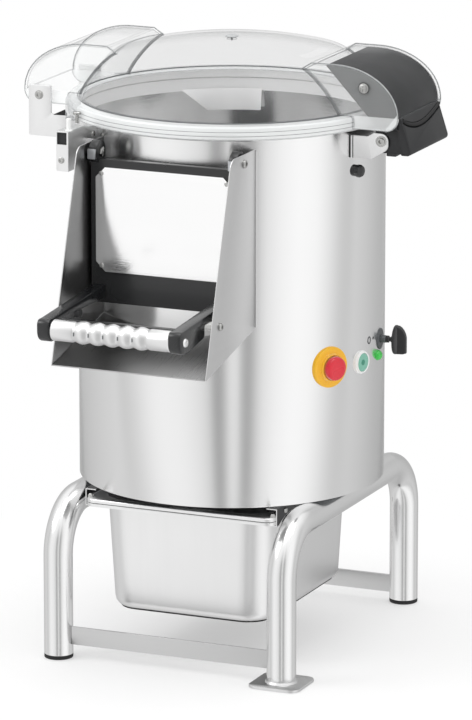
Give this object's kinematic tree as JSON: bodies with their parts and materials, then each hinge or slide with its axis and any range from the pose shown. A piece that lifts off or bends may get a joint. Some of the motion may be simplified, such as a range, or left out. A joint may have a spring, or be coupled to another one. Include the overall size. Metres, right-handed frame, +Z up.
{
  "type": "electric potato peeler",
  "caption": "Floor-standing drum peeler: clear hinged lid, lifting discharge door and chute, waste pan on a tube stand, dial, buttons and lamp.",
  "frame": {"origin": "middle of the machine's outline at the floor; the drum's upright axis is at x -8 mm, y +74.5 mm", "axes": "+Z up, -Y towards the discharge chute at the front, +X towards the lid's hinge at the machine's right"},
  "size_m": [0.54, 0.6272, 0.7996],
  "materials": {
    "polished_steel": "polished",
    "drum_steel": "brushed",
    "sheet_steel": "satin",
    "dark_steel": "matt",
    "cast_metal": "rough",
    "alloy": "satin",
    "clear_plastic": "clear",
    "black_plastic": "satin",
    "black_rubber": "matt",
    "pale_rubber": "matt",
    "abrasive": "gritty",
    "yellow_plastic": "satin",
    "red_plastic": "satin",
    "white_plastic": "satin",
    "green_plastic": "satin",
    "green_lens": "clear"
  },
  "bodies": {
    "machine": {"leg_frame_left": "polished_steel", "leg_frame_right": "polished_steel", "front_cross_bar": "sheet_steel", "rear_cross_bar": "sheet_steel", "foot_cap_front_left": "black_rubber", "foot_cap_rear_left": "black_rubber", "foot_cap_rear_right": "black_rubber", "foot_plate": "sheet_steel", "pan_rail_left": "sheet_steel", "pan_rail_right": "sheet_steel", "drum_shell": "drum_steel", "base_plate": "dark_steel", "chamber_floor": "drum_steel", "waste_duct": "sheet_steel", "abrasive_liner": "abrasive", "door_frame": "drum_steel", "chute_side_left": "sheet_steel", "chute_side_right": "sheet_steel", "chute_floor": "sheet_steel", "cable_gland": "black_plastic", "water_inlet": "polished_steel", "bearing_housing": "cast_metal", "drive_belt": "black_rubber", "motor_plate": "dark_steel", "motor_body": "dark_steel", "door_pivot_left": "polished_steel", "door_pivot_right": "polished_steel", "catch_pin_left": "polished_steel", "catch_pin_right": "polished_steel", "hinge_bracket_front": "sheet_steel", "hinge_bracket_rear": "sheet_steel", "lid_stop": "black_rubber", "switch_bracket": "sheet_steel", "switch_sensor": "black_plastic", "stop_button_base": "yellow_plastic", "start_bezel": "white_plastic", "run_lamp": "green_lens", "timer_dial": "black_plastic", "timer_body": "cast_metal"},
    "lid": {"lid_dome": "clear_plastic", "lid_seal": "pale_rubber", "lid_plug": "black_rubber", "hinge_block": "black_plastic", "hinge_pin": "polished_steel", "latch_strap": "sheet_steel"},
    "door": {"door_body": "black_plastic", "door_gasket": "black_rubber", "door_plate": "polished_steel", "handle_frame": "black_plastic", "handle_grip": "alloy", "handle_rod": "polished_steel"},
    "pan": {"waste_pan": "sheet_steel"},
    "disc": {"abrasive_disc": "abrasive", "drive_shaft": "alloy", "drive_pulley": "cast_metal"},
    "motor": {"motor_pulley": "cast_metal", "motor_shaft": "alloy"},
    "stop_button": {"stop_button_head": "red_plastic"},
    "start": {"start_button": "green_plastic"},
    "knob": {"timer_knob": "black_plastic"}
  },
  "joints": [
    {"name": "lid_hinge", "type": "hinge", "parent": "machine", "child": "lid", "pos_m": [0.2255, 0.07451, 0.6893], "axis": [0, 1, 0], "range_deg": [0, 100]},
    {"name": "door_hinge", "type": "hinge", "parent": "machine", "child": "door", "pos_m": [-0.008, -0.13249, 0.6773], "axis": [-1, 0, 0], "range_deg": [0, 68]},
    {"name": "pan_slide", "type": "slide", "parent": "machine", "child": "pan", "axis": [0, -1, 0], "range_m": [0, 0.28]},
    {"name": "disc_spin", "type": "hinge", "parent": "machine", "child": "disc", "pos_m": [-0.008, 0.07451, 0.4], "axis": [0, 0, 1], "continuous": true},
    {"name": "motor_spin", "type": "hinge", "parent": "machine", "child": "motor", "pos_m": [-0.008, 0.20951, 0.35], "axis": [0, 0, 1], "continuous": true},
    {"name": "stop_button_press", "type": "slide", "parent": "machine", "child": "stop_button", "axis": [-0.8829, 0.4695, 0], "range_m": [0, 0.004]},
    {"name": "start_button_press", "type": "slide", "parent": "machine", "child": "start", "axis": [-0.9816, 0.1908, 0], "range_m": [0, 0.0025], "stiffness_N_per_m": 900},
    {"name": "timer_turn", "type": "hinge", "parent": "machine", "child": "knob", "pos_m": [0.20986, 0.10513, 0.4088], "axis": [0.9903, 0.1392, 0], "range_deg": [-300, 0]}
  ],
  "couplings": [
    {"joint": "motor_spin", "follows": "disc_spin", "ratio": 4}
  ]
}
